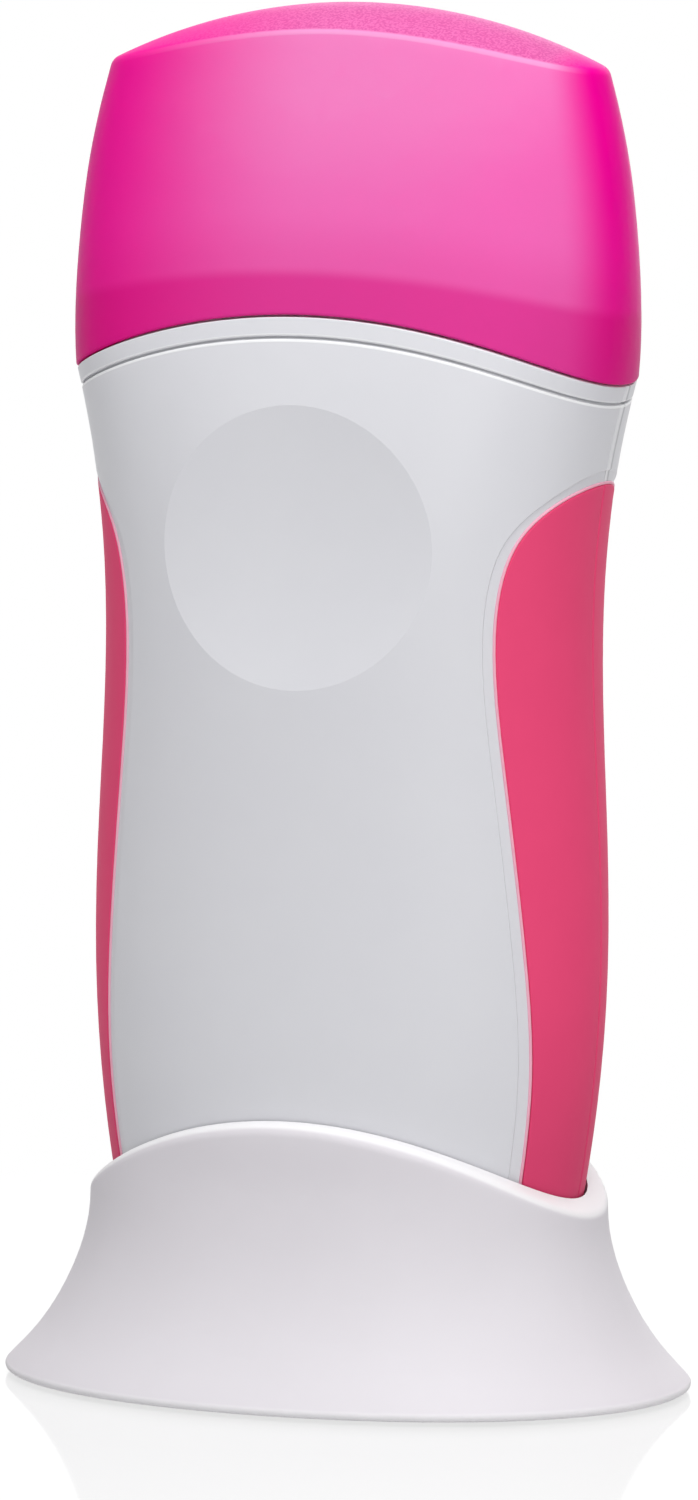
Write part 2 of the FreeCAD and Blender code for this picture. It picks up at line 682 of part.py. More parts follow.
def build_neck_frame():
    top = below_arch(NECK_TOP_Z, NECK_TOP_FALL, NECK_TOP_SPAN)
    outer = neck_skin().common(slab(NECK_FOOT_Z, 2 * FAR)).common(top)
    deck = slab(DECK_TOP_Z - DECK_THICKNESS, DECK_TOP_Z)
    frame = outer.cut(neck_skin(NECK_WALL).cut(deck))
    mouth = rounded_block(
        TANK_HALF_WIDTH + CHAMBER_CLEARANCE, TANK_HALF_DEPTH + CHAMBER_CLEARANCE,
        TANK_CORNER + CHAMBER_CLEARANCE, NECK_FOOT_Z, NECK_TOP_Z)
    frame = frame.cut(mouth)
    half = BEAD_SIZE / 2
    bead_z = DECK_TOP_Z + BEAD_RISE
    for turn in (0, 180):
        bead = box(BEAD_X - half, -FAR, bead_z - half, BEAD_X + half, 0, bead_z + half)
        proud = neck_skin(-BEAD_HEIGHT).common(bead).cut(neck_skin(0.5 * NECK_WALL))
        proud.rotate(V(0, 0, 0), Z_AXIS, turn)
        frame = frame.fuse(proud)
    return largest_solid(frame.removeSplitter())


# ---------------------------------------------------------------------- cap
def build_cap():
    above = slab(-FAR, 2 * FAR).cut(below_edge())
    outer = cap_skin().common(under_crown())
    crease = [e for e in outer.Edges if e.BoundBox.ZMin > EDGE_TOP_Z and e.BoundBox.ZMax < CROWN_TOP_Z
              and not is_upright(e)]
    outer = outer.makeFillet(CAP_CROWN_ROUND, crease).common(above)
    rim = [e for e in trimmed_edges(outer) if e.BoundBox.ZMax < EDGE_TOP_Z + NEAR]
    outer = outer.makeFillet(CAP_RIM_ROUND, rim)
    return largest_solid(outer.cut(cap_skin(CAP_WALL).common(under_crown(CAP_WALL))))


def is_upright(edge):
    """True for the upright seams between the four quarter faces of a skin."""
    a, b = edge.Vertexes[0].Point, edge.Vertexes[-1].Point
    return math.hypot(a.x - b.x, a.y - b.y) < 0.5 * abs(a.z - b.z)


# ---------------------------------------------------------------------- stand
def build_stand_shell():
    floor_z = STAND_SECTIONS[0][0]
    outer = stand_skin().common(below_rim())
    outer = outer.makeFillet(STAND_FOOT_ROUND, edges_at_height(outer, floor_z))
    rim = [e for e in outer.Edges if e.BoundBox.ZMin > 0.5 * RIM_TOP_Z]
    outer = outer.makeFillet(STAND_RIM_ROUND, rim)

    # the cup that holds the handset, which the hollow under the stand leaves standing
    cup_grow = POCKET_CLEARANCE + CUP_WALL
    cup_z, cup_half_width, cup_half_depth = HANDSET_SECTIONS[0]
    foot_sizes = (cup_half_width + cup_grow, cup_half_depth + cup_grow, HANDSET_FULLNESS[1])
    cup_foot = Part.Face(ring_wire(cup_z - CUP_WALL, *foot_sizes))
    cup = handset_skin(-cup_grow).fuse(cup_foot.extrude(V(0, 0, CUP_WALL)))
    shell = outer.cut(stand_skin(STAND_WALL).common(below_rim(STAND_TOP_SOLID)).cut(cup))
    pocket = handset_skin(-POCKET_CLEARANCE)
    shell = shell.cut(pocket)

    for x, y in base_bosses():
        boss = rod(V(x, y, plate_top_z()), BASE_BOSS_RADIUS, BASE_BOSS_HEIGHT, Z_AXIS)
        shell = shell.fuse(boss.common(stand_skin(0.5 * STAND_WALL)).cut(pocket))
    shell = shell.removeSplitter()
    hole_top = base_screw_face_z() + BASE_SCREW_LENGTH + BASE_HOLE_SPARE
    for x, y in base_bosses():
        shell = shell.cut(rod(V(x, y, 0), SCREW_RADIUS + SCREW_BITE, hole_top, Z_AXIS))
    return largest_solid(shell)


def plate_top_z():
    return BASE_PLATE_Z + BASE_PLATE_THICKNESS


def base_screw_face_z():
    return BASE_PLATE_Z + BASE_SCREW_SINK


def base_bosses():
    inner = section_at(STAND_SECTIONS, plate_top_z())[0] - STAND_WALL
    return four_corners(inner - BASE_BOSS_INSET, BASE_BOSS_Y)


def build_base_plate():
    plate = stand_skin(STAND_WALL + BASE_PLATE_CLEARANCE).common(slab(BASE_PLATE_Z, plate_top_z()))
    for x, y in base_bosses():
        plate = plate.cut(rod(V(x, y, 0), SCREW_RADIUS + SCREW_CLEARANCE, FAR, Z_AXIS))
        plate = plate.cut(rod(V(x, y, 0), SCREW_HEAD_RADIUS + SCREW_CLEARANCE, base_screw_face_z(), Z_AXIS))
    for x, y in four_corners(PAD_X, PAD_Y):
        plate = plate.cut(rod(V(x, y, 0), PAD_RADIUS + PAD_CLEARANCE, BASE_PLATE_Z + PAD_RECESS, Z_AXIS))
    return largest_solid(plate)


def build_feet():
    feet = []
    for x, y in four_corners(PAD_X, PAD_Y):
        foot = rod(V(x, y, 0), PAD_RADIUS, BASE_PLATE_Z + PAD_RECESS, Z_AXIS)
        feet.append(foot.makeFillet(PAD_ROUND, edges_at_height(foot, 0.0)))
    return Part.makeCompound(feet)


def build_stand_screws():
    face_z = base_screw_face_z()
    return Part.makeCompound([screw(V(x, y, face_z), BASE_SCREW_LENGTH, Z_AXIS) for x, y in base_bosses()])


# ---------------------------------------------------------------------- wax cartridge
def tank_top_z():
    return DECK_TOP_Z - SEAL_THICKNESS


def tank_block(inset, z0, z1):
    return rounded_block(TANK_HALF_WIDTH - inset, TANK_HALF_DEPTH - inset, TANK_CORNER - inset, z0, z1)


def build_tank():
    outer = tank_block(0, TANK_BOTTOM_Z, tank_top_z())
    outer = outer.makeFillet(TANK_BOTTOM_ROUND, edges_at_height(outer, TANK_BOTTOM_Z))
    return outer.cut(tank_block(TANK_WALL, TANK_BOTTOM_Z + TANK_WALL, tank_top_z()))


def build_wax():
    return tank_block(TANK_WALL + WAX_CLEARANCE, TANK_BOTTOM_Z + TANK_WALL + WAX_CLEARANCE, WAX_LEVEL_Z)


def build_seal():
    return tank_block(0, tank_top_z(), DECK_TOP_Z).cut(tank_block(TANK_WALL, tank_top_z(), DECK_TOP_Z))


def plan_wire(sizes, z):
    """Outline of a rounded block at a height, from its half width, half depth and corner."""
    half_width, half_depth, corner = sizes
    plan = rounded_block(half_width, half_depth, corner, z, z + 1.0)
    return [f for f in plan.Faces if f.BoundBox.ZMax < z + NEAR][0].OuterWire


def build_roller_head():
    flange_top = DECK_TOP_Z + HEAD_FLANGE_THICKNESS
    flange = tank_block(-HEAD_FLANGE_REACH, DECK_TOP_Z, flange_top)
    flange = flange.makeFillet(HEAD_FLANGE_ROUND, edges_at_height(flange, flange_top))
    spigot = tank_block(TANK_WALL + HEAD_SPIGOT_CLEARANCE, DECK_TOP_Z - HEAD_SPIGOT, flange_top)

    # a tower that tapers from the flange to the cheeks of the roller, with lower lips between them
    cavity_half = ROLLER_LENGTH / 2 + ROLLER_SIDE_CLEARANCE
    cavity_radius = ROLLER_RADIUS + ROLLER_CAVITY_CLEARANCE
    reach = HEAD_FLANGE_REACH - HEAD_TOWER_INSET
    low = (TANK_HALF_WIDTH + reach, TANK_HALF_DEPTH + reach, TANK_CORNER)
    high = (cavity_half + HEAD_CHEEK, cavity_radius + HEAD_LIP, HEAD_TOP_CORNER)
    ends = [plan_wire(low, flange_top - ROOT), plan_wire(high, ROLLER_AXIS_Z + HEAD_CHEEK_TOP)]
    tower = Part.makeLoft(ends, True, True)
    tower = tower.cut(box(-cavity_half, -FAR, HEAD_LIP_Z, cavity_half, FAR, 2 * FAR))
    head = fuse_all([flange, spigot, tower])

    # the trough, the slot that feeds it, the well below and the two blind bearings
    head = head.cut(rod(V(-cavity_half, 0, ROLLER_AXIS_Z), cavity_radius, 2 * cavity_half, X_AXIS))
    slot_x, slot_y = HEAD_SLOT_LENGTH / 2, HEAD_SLOT_WIDTH / 2
    head = head.cut(box(-slot_x, -slot_y, 0, slot_x, slot_y, ROLLER_AXIS_Z))
    well_top = ROLLER_AXIS_Z - cavity_radius - HEAD_TROUGH_FLOOR
    head = head.cut(tank_block(HEAD_WELL_WALL, 0, well_top))
    bearing_half = ROLLER_LENGTH / 2 + JOURNAL_LENGTH + ROLLER_SIDE_CLEARANCE
    bearing_start = V(-bearing_half, 0, ROLLER_AXIS_Z)
    bore = rod(bearing_start, JOURNAL_RADIUS + JOURNAL_CLEARANCE, 2 * bearing_half, X_AXIS)
    return largest_solid(head.cut(bore))


def build_roller():
    drum = rod(V(-ROLLER_LENGTH / 2, 0, ROLLER_AXIS_Z), ROLLER_RADIUS, ROLLER_LENGTH, X_AXIS)
    drum = drum.makeFillet(ROLLER_EDGE_ROUND, circles(drum))
    half = ROLLER_LENGTH / 2 + JOURNAL_LENGTH
    axle = rod(V(-half, 0, ROLLER_AXIS_Z), JOURNAL_RADIUS, 2 * half, X_AXIS)
    return drum.fuse(axle).removeSplitter()


# ---------------------------------------------------------------------- heater
def chamber_floor_z():
    return TANK_BOTTOM_Z - CHAMBER_FLOOR_GAP - CHAMBER_WALL


def chamber_rear_y():
    return TANK_HALF_DEPTH + CHAMBER_CLEARANCE + CHAMBER_WALL


def cradle_bottom_z():
    return chamber_floor_z() - CRADLE_THICKNESS


def heater_z():
    return TANK_BOTTOM_Z + HEATER_RISE


def build_chamber():
    top = DECK_TOP_Z - DECK_THICKNESS
    outer = tank_block(-(CHAMBER_CLEARANCE + CHAMBER_WALL), chamber_floor_z(), top)
    cup = outer.cut(tank_block(-CHAMBER_CLEARANCE, chamber_floor_z() + CHAMBER_WALL, top))
    for x in (CLAMP_SCREW_X, -CLAMP_SCREW_X):
        start = V(x, chamber_rear_y() - ROOT, heater_z())
        cup = cup.fuse(rod(start, CLAMP_BOSS_RADIUS, HEATER_THICKNESS + ROOT, Y_AXIS))
    cup = cup.removeSplitter()
    for x in (CLAMP_SCREW_X, -CLAMP_SCREW_X):
        cup = cup.cut(rod(V(x, chamber_rear_y(), heater_z()), SMALL_SCREW_RADIUS + SCREW_BITE, FAR, Y_AXIS))
    return cup


def build_heater():
    y = chamber_rear_y()
    low = heater_z() - HEATER_HEIGHT / 2
    block = box(-HEATER_HALF_WIDTH, y, low, HEATER_HALF_WIDTH, y + HEATER_THICKNESS, low + HEATER_HEIGHT)
    return block.makeFillet(HEATER_CORNER, front_to_back_edges(block))


def front_to_back_edges(block):
    return [e for e in block.Edges if abs(e.Vertexes[0].Y - e.Vertexes[1].Y) > NEAR]


def build_clamp():
    y = chamber_rear_y() + HEATER_THICKNESS
    z = heater_z()
    half = CLAMP_SCREW_X + CLAMP_BOSS_RADIUS
    plate = box(-half, y, z - CLAMP_HEIGHT / 2, half, y + CLAMP_THICKNESS, z + CLAMP_HEIGHT / 2)
    plate = plate.makeFillet(CLAMP_CORNER, front_to_back_edges(plate))
    for x in (CLAMP_SCREW_X, -CLAMP_SCREW_X):
        plate = plate.cut(rod(V(x, 0, z), SMALL_SCREW_RADIUS + SCREW_CLEARANCE, FAR, Y_AXIS))
    return plate


def build_clamp_screws():
    y = chamber_rear_y() + HEATER_THICKNESS + CLAMP_THICKNESS
    length = CLAMP_THICKNESS + HEATER_THICKNESS - CLAMP_SCREW_SPARE
    places = [V(x, y, heater_z()) for x in (CLAMP_SCREW_X, -CLAMP_SCREW_X)]
    return Part.makeCompound([small_screw(place, length, -Y_AXIS) for place in places])


def fuse_centre_z():
    return heater_z() - HEATER_HEIGHT / 2 - FUSE_GAP_BELOW - FUSE_RADIUS


def fuse_centre_y():
    return chamber_rear_y() + FUSE_RADIUS + FUSE_CLEARANCE


def build_fuse():
    start = V(-FUSE_LENGTH / 2, fuse_centre_y(), fuse_centre_z())
    barrel = rod(start, FUSE_RADIUS, FUSE_LENGTH, X_AXIS)
    barrel = barrel.makeFillet(FUSE_END_ROUND, circles(barrel))
    lead_half = WIRE_X + WIRE_RADIUS
    lead = rod(V(-lead_half, start.y, start.z), FUSE_LEAD_RADIUS, 2 * lead_half, X_AXIS)
    return barrel.fuse(lead).removeSplitter()


def build_cradle():
    low = cradle_bottom_z()
    top = low + CRADLE_THICKNESS
    plate = handset_skin(HANDSET_WALL + CRADLE_CLEARANCE).common(slab(low, top))
    seat = CHAMBER_CLEARANCE + CHAMBER_WALL + CHAMBER_SEAT_CLEARANCE
    lip = tank_block(-(seat + CRADLE_LIP), low, top + CRADLE_LIP_HEIGHT).cut(tank_block(-seat, low, 2 * FAR))
    cradle = plate.fuse(lip).removeSplitter().cut(tank_block(CRADLE_LEDGE, 0, 2 * FAR))
    for x in (WIRE_X, -WIRE_X):
        notch = box(x - WIRE_NOTCH, fuse_centre_y() - WIRE_NOTCH, 0, x + WIRE_NOTCH, FAR, 2 * FAR)
        cradle = cradle.cut(notch)
    return largest_solid(cradle)


# ---------------------------------------------------------------------- mains inlet
def inlet_face_y():
    return section_at(HANDSET_SECTIONS, INLET_Z)[1] - INLET_SETBACK


def stadium(half_width, half_height, y0, y1):
    """A block with half-round ends, lying along X, at the inlet's height."""
    flat = half_width - half_height
    middle = box(-flat, y0, INLET_Z - half_height, flat, y1, INLET_Z + half_height)
    ends = [rod(V(x, y0, INLET_Z), half_height, y1 - y0, Y_AXIS) for x in (flat, -flat)]
    return fuse_all([middle] + ends)


def inlet_block(grow, y0, y1):
    return stadium(INLET_HALF_WIDTH + grow, INLET_HALF_HEIGHT + grow, y0, y1)


def build_inlet():
    face = inlet_face_y()
    housing = inlet_block(0, face - INLET_DEPTH, face)
    # a flange behind the shell's wall stops the housing from being pulled out
    wall_y = face + INLET_SETBACK - HANDSET_WALL
    flange = inlet_block(INLET_FLANGE, wall_y - INLET_FLANGE_DEPTH, wall_y)
    housing = housing.fuse(flange.common(handset_skin(HANDSET_WALL + INLET_CLEARANCE))).removeSplitter()
    well_back = face - INLET_WELL_DEPTH
    half = PIN_SPACING / 2
    lobes = [rod(V(x, well_back, INLET_Z), INLET_LOBE_RADIUS, FAR, Y_AXIS) for x in (half, -half)]
    waist = box(-half, well_back, INLET_Z - INLET_WAIST / 2, half, FAR, INLET_Z + INLET_WAIST / 2)
    housing = housing.cut(fuse_all([waist] + lobes))
    for x in (half, -half):
        housing = housing.cut(rod(V(x, 0, INLET_Z), PIN_ROOT_RADIUS + PIN_CLEARANCE, FAR, Y_AXIS))
    return largest_solid(housing)


def build_pins():
    tip = inlet_face_y() - PIN_SETBACK
    root = inlet_face_y() - INLET_WELL_DEPTH
    back = board_face_y() - BOARD_THICKNESS - PIN_TAIL
    pins = []
    for x in (PIN_SPACING / 2, -PIN_SPACING / 2):
        pin = rod(V(x, back, INLET_Z), PIN_ROOT_RADIUS, root - back, Y_AXIS)
        pin = pin.fuse(rod(V(x, root, INLET_Z), PIN_RADIUS, tip - root, Y_AXIS))
        pins.append(pin.makeFillet(PIN_TIP_ROUND, [e for e in pin.Edges if e.BoundBox.YMin > tip - NEAR]))
    return Part.makeCompound(pins)


# ---------------------------------------------------------------------- circuit board and leads
def board_top_z():
    return cradle_bottom_z() - SHELF_THICKNESS - BOARD_TOP_GAP


def board_face_y():
    """Rear face of the circuit board."""
    return inlet_face_y() - INLET_DEPTH - BOARD_INLET_GAP


def board_posts():
    top = board_top_z()
    heights = (top - BOARD_POST_INSET, top - BOARD_HEIGHT + BOARD_POST_INSET)
    return mirrored_places([(BOARD_POST_X, z) for z in heights])


def build_board():
    rear = board_face_y()
    top = board_top_z()
    board = box(-BOARD_HALF_WIDTH, rear - BOARD_THICKNESS, top - BOARD_HEIGHT, BOARD_HALF_WIDTH, rear, top)
    for x, z in board_posts():
        board = board.cut(rod(V(x, -FAR, z), SMALL_SCREW_RADIUS + SCREW_CLEARANCE, 2 * FAR, Y_AXIS))
    for x in (PIN_SPACING / 2, -PIN_SPACING / 2):
        board = board.cut(rod(V(x, -FAR, INLET_Z), PIN_ROOT_RADIUS + PIN_CLEARANCE, 2 * FAR, Y_AXIS))
    return board


def build_board_parts():
    """Filter capacitor, surge disc and two resistors, each on the front face of the board."""
    face = board_face_y() - BOARD_THICKNESS
    top = board_top_z()
    width, depth, height = CAPACITOR_SIZE
    x, drop = CAPACITOR_PLACE
    capacitor = box(x, face - depth, top - drop - height, x + width, face, top - drop)
    outer = [e for e in capacitor.Edges if e.BoundBox.YMax < face - NEAR]
    capacitor = capacitor.makeFillet(CAPACITOR_ROUND, outer)
    x, drop = DISC_PLACE
    parts = [capacitor, rod(V(x, face - DISC_HEIGHT, top - drop), DISC_RADIUS, DISC_HEIGHT, Y_AXIS)]
    x, drop = RESISTOR_PLACE
    for row in (0, 1):
        start = V(x, face - RESISTOR_RADIUS, top - drop - RESISTOR_PITCH * row)
        parts.append(rod(start, RESISTOR_RADIUS, RESISTOR_LENGTH, X_AXIS))
    return Part.makeCompound(parts)


def build_board_screws():
    y = board_face_y() - BOARD_THICKNESS
    length = BOARD_THICKNESS + BOARD_SCREW_LENGTH
    return Part.makeCompound([small_screw(V(x, y, z), length, Y_AXIS) for x, z in board_posts()])


def build_wires():
    """Two insulated leads, from the board's rear face up to the ends of the fuse."""
    wires = []
    start_y = board_face_y() + WIRE_RADIUS
    rise_y = fuse_centre_y()
    for x in (WIRE_X, -WIRE_X):
        points = [
            V(x, start_y, WIRE_START_Z),
            V(x, start_y, WIRE_TURN_Z),
            V(x, rise_y, WIRE_RISE_Z),
            V(x, rise_y, fuse_centre_z() - FUSE_LEAD_RADIUS),
        ]
        wires.append(tube(points, WIRE_RADIUS))
    return Part.makeCompound(wires)


def tube(points, radius):
    """Straight runs joined by tangent arcs, each as large as its runs allow."""
    edges = []
    last = points[0]
    for before, corner, after in zip(points, points[1:], points[2:]):
        inward = (before - corner).normalize()
        outward = (after - corner).normalize()
        turn = math.pi - inward.getAngle(outward)
        reach = BEND_SHARE * min((before - corner).Length, (after - corner).Length)
        a = corner + inward * reach
        b = corner + outward * reach
        middle = (inward + outward).normalize()
        bend = reach / math.tan(turn / 2)
        centre = corner + middle * (bend / math.cos(turn / 2))
        on_arc = centre - middle * bend
        edges.append(Part.makeLine(last, a))
        edges.append(Part.Arc(a, on_arc, b).toShape())
        last = b
    edges.append(Part.makeLine(last, points[-1]))
    path = Part.Wire(edges)
    profile = Part.Wire(Part.makeCircle(radius, points[0], points[1] - points[0]))
    return path.makePipeShell([profile], True, False)


# ---------------------------------------------------------------------- write every node
os.makedirs("parts", exist_ok=True)

handset_outside = build_outside()
save("front_shell", build_front_shell(handset_outside))
save("rear_shell", build_rear_shell(handset_outside))
for where, half in (("front", front_half), ("rear", rear_half)):
    right, left = both_sides(build_grip(half))
    save(where + "_grip_right", right)
    save(where + "_grip_left", left)
save("neck_frame", build_neck_frame())
save("shell_screws", build_shell_screws())

save("heating_chamber", build_chamber())
save("heater_element", build_heater())
save("heater_clamp", build_clamp())
save("clamp_screws", build_clamp_screws())
save("thermal_fuse", build_fuse())
save("chamber_cradle", build_cradle())
save("mains_inlet", build_inlet())
save("inlet_pins", build_pins())
save("circuit_board", build_board())
save("board_components", build_board_parts())
save("board_screws", build_board_screws())
save("lead_wires", build_wires())

save("wax_tank", build_tank())
save("wax_fill", build_wax())
save("head_seal", build_seal())
save("roller_head", build_roller_head())
save("roller", build_roller())
save("cap", build_cap())

save("stand_shell", build_stand_shell())
save("stand_base_plate", build_base_plate())
save("stand_feet", build_feet())
save("stand_screws", build_stand_screws())
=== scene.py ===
# %% [markdown]
# # A roll-on wax heater in its stand
# The heater is a flat oval handset with soft grips on its sides. A frosted cap covers the roller of
# the wax cartridge, and the handset rests in a flared stand. The solids come from the CAD model, so
# this lesson is about what a solid can't say: how light meets satin plastic, soft rubber, frosted
# polypropylene, aluminium and wax, and how a product picture is lit.

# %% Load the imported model
import json
import math

import bpy
from mathutils import Matrix, Vector
from mathutils.bvhtree import BVHTree


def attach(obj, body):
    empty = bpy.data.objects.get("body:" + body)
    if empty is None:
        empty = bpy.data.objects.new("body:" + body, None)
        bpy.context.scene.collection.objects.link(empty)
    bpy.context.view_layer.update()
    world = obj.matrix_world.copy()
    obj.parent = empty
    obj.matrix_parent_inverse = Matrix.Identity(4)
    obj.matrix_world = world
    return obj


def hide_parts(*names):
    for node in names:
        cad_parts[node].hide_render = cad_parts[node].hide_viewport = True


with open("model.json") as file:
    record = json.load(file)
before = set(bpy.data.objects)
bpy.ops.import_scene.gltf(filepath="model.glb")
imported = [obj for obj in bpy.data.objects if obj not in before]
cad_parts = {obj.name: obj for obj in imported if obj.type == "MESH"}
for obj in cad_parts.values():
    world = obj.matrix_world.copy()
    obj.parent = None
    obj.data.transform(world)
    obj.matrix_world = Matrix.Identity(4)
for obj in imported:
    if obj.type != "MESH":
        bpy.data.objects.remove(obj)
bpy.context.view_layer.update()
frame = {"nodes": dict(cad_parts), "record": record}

MM = 0.001

# %% [markdown]
# ## Which piece belongs to which moving body
# The record lists the bodies and the pieces in each. Turning that list round gives the body of every
# piece, so no piece is tied to a body by hand.

# %% Find the body of every piece
body_of_node = {
    node: body
    for body, nodes in frame["record"]["behaviour"]["bodies"].items()
    for node in nodes
}

# %% [markdown]
# ## Smooth skins
# The CAD model arrives as loose triangles, and each would catch the light as its own small facet. The
# real mouldings are polished steel negatives: their skins flow without a break, and only a true edge
# is crisp. So each outer piece gets a copy whose triangles are welded together. Shading is then
# smoothed everywhere but across edges that turn sharply, and the normals are weighted by area, which
# keeps long slim triangles beside a rounding from showing.

# %% A helper that welds and smooths a copy of a CAD piece
WELD = 0.002 * MM
SHARP = math.radians(32)
DISH_Z, DISH_RADIUS, DISH_TOLERANCE = 115.9 * MM, 19.1 * MM, 0.12 * MM


def select_only(*objects):
    """Leave just these objects selected, the first one active."""
    bpy.ops.object.select_all(action="DESELECT")
    for obj in objects:
        obj.select_set(True)
    bpy.context.view_layer.objects.active = objects[0]


def keep_dish_rim(piece):
    """Mark the rim of the thumb dish as an edge: it turns too little to be found by its angle."""
    mesh = piece.data
    on_rim = [
        vertex.co.y < 0 and abs(math.hypot(vertex.co.x, vertex.co.z - DISH_Z) - DISH_RADIUS) < DISH_TOLERANCE
        for vertex in mesh.vertices
    ]
    for edge in mesh.edges:
        if all(on_rim[index] for index in edge.vertices):
            edge.use_edge_sharp = True


def smooth_skin(node, name):
    """A welded, smooth-shaded copy of a CAD piece, which is shown in its place."""
    piece = bpy.data.objects.new(name, frame["nodes"][node].data.copy())
    bpy.context.scene.collection.objects.link(piece)
    select_only(piece)
    bpy.ops.mesh.customdata_custom_splitnormals_clear()
    bpy.ops.object.mode_set(mode="EDIT")
    bpy.ops.mesh.select_all(action="SELECT")
    bpy.ops.mesh.remove_doubles(threshold=WELD)
    bpy.ops.object.mode_set(mode="OBJECT")
    bpy.ops.object.shade_smooth_by_angle(angle=SHARP)
    if node == "front_shell":
        keep_dish_rim(piece)
    weighted = piece.modifiers.new("Weighted", "WEIGHTED_NORMAL")
    weighted.keep_sharp = True
    bpy.ops.object.modifier_apply(modifier=weighted.name)
    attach(piece, body_of_node[node])
    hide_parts(node)
    return piece


# %% Weld every piece that can be seen
SKINS = {
    "front_shell": "front_housing",
    "rear_shell": "rear_housing",
    "front_grip_right": "front_right_grip",
    "front_grip_left": "front_left_grip",
    "rear_grip_right": "rear_right_grip",
    "rear_grip_left": "rear_left_grip",
    "neck_frame": "neck_collar",
    "cap": "frosted_cap",
    "stand_shell": "stand_body",
    "stand_base_plate": "stand_bottom",
    "stand_feet": "rubber_feet",
    "roller_head": "applicator_head",
    "roller": "wax_roller",
    "wax_tank": "wax_reservoir",
    "wax_fill": "set_wax",
    "head_seal": "reservoir_seal",
    "mains_inlet": "inlet_socket",
    "inlet_pins": "inlet_contacts",
    "shell_screws": "housing_screws",
    "stand_screws": "bottom_screws",
    "heating_chamber": "warming_sleeve",
}
skins = {node: smooth_skin(node, name) for node, name in SKINS.items()}
print("welded", len(skins), "pieces,", sum(len(p.data.polygons) for p in skins.values()), "triangles")

# %% [markdown]
# ## Shader maths in plain Python
# A finish is a small sum over noise patterns. Wiring Math nodes by hand hides that sum, so one small
# class wraps a socket and lets Python's own operators add the nodes. Every other node comes from the
# one method `add`, which takes the node's type, its settings and its inputs. The room's light uses the
# same method as the finishes do.

# %% The socket wrapper
class Wire:
    """One output socket. Arithmetic on it adds Math nodes to its tree."""

    def __init__(self, nodes, socket):
        self.nodes = nodes
        self.socket = socket

    def maths(self, operation, *values):
        return self.nodes.add("ShaderNodeMath", {"operation": operation}, dict(enumerate(values)))

    def __add__(self, other):
        return self.maths("ADD", self, other)

    __radd__ = __add__

    def __mul__(self, other):
        return self.maths("MULTIPLY", self, other)

    __rmul__ = __mul__

    def __sub__(self, other):
        return self.maths("SUBTRACT", self, other)

    def __rsub__(self, other):
        return self.maths("SUBTRACT", other, self)

    def __truediv__(self, other):
        return self.maths("DIVIDE", self, other)

    def __pow__(self, other):
        return self.maths("POWER", self, other)

    def root(self):
        return self.maths("SQRT", self)

    def clipped(self, low=0.0, high=1.0):
        return self.maths("MINIMUM", self.maths("MAXIMUM", self, low), high)


# %% A tree of nodes that one method fills
SEE_WHITE = ("Is Camera Ray", "Is Glossy Ray", "Is Transmission Ray")


class Nodes:
    """The nodes of a material or of the room."""

    def __init__(self, tree):
        self.tree = tree

    def add(self, kind, settings=None, inputs=None, output=0):
        """Add a node: its settings first, then values or wires into its sockets."""
        node = self.tree.nodes.new(kind)
        for key, value in (settings or {}).items():
            setattr(node, key, value)
        for key, value in (inputs or {}).items():
            self.feed(node.inputs[key], value)
        return Wire(self, node.outputs[output])

    def feed(self, socket, value):
        if isinstance(value, Wire):
            self.tree.links.new(value.socket, socket)
        else:
            socket.default_value = value

    def sees_white(self):
        """1 for the rays that see the white room, 0 for those that carry light to the object."""
        camera_ray, gloss, through = (self.add("ShaderNodeLightPath", output=kind) for kind in SEE_WHITE)
        return (camera_ray + gloss + through).clipped()


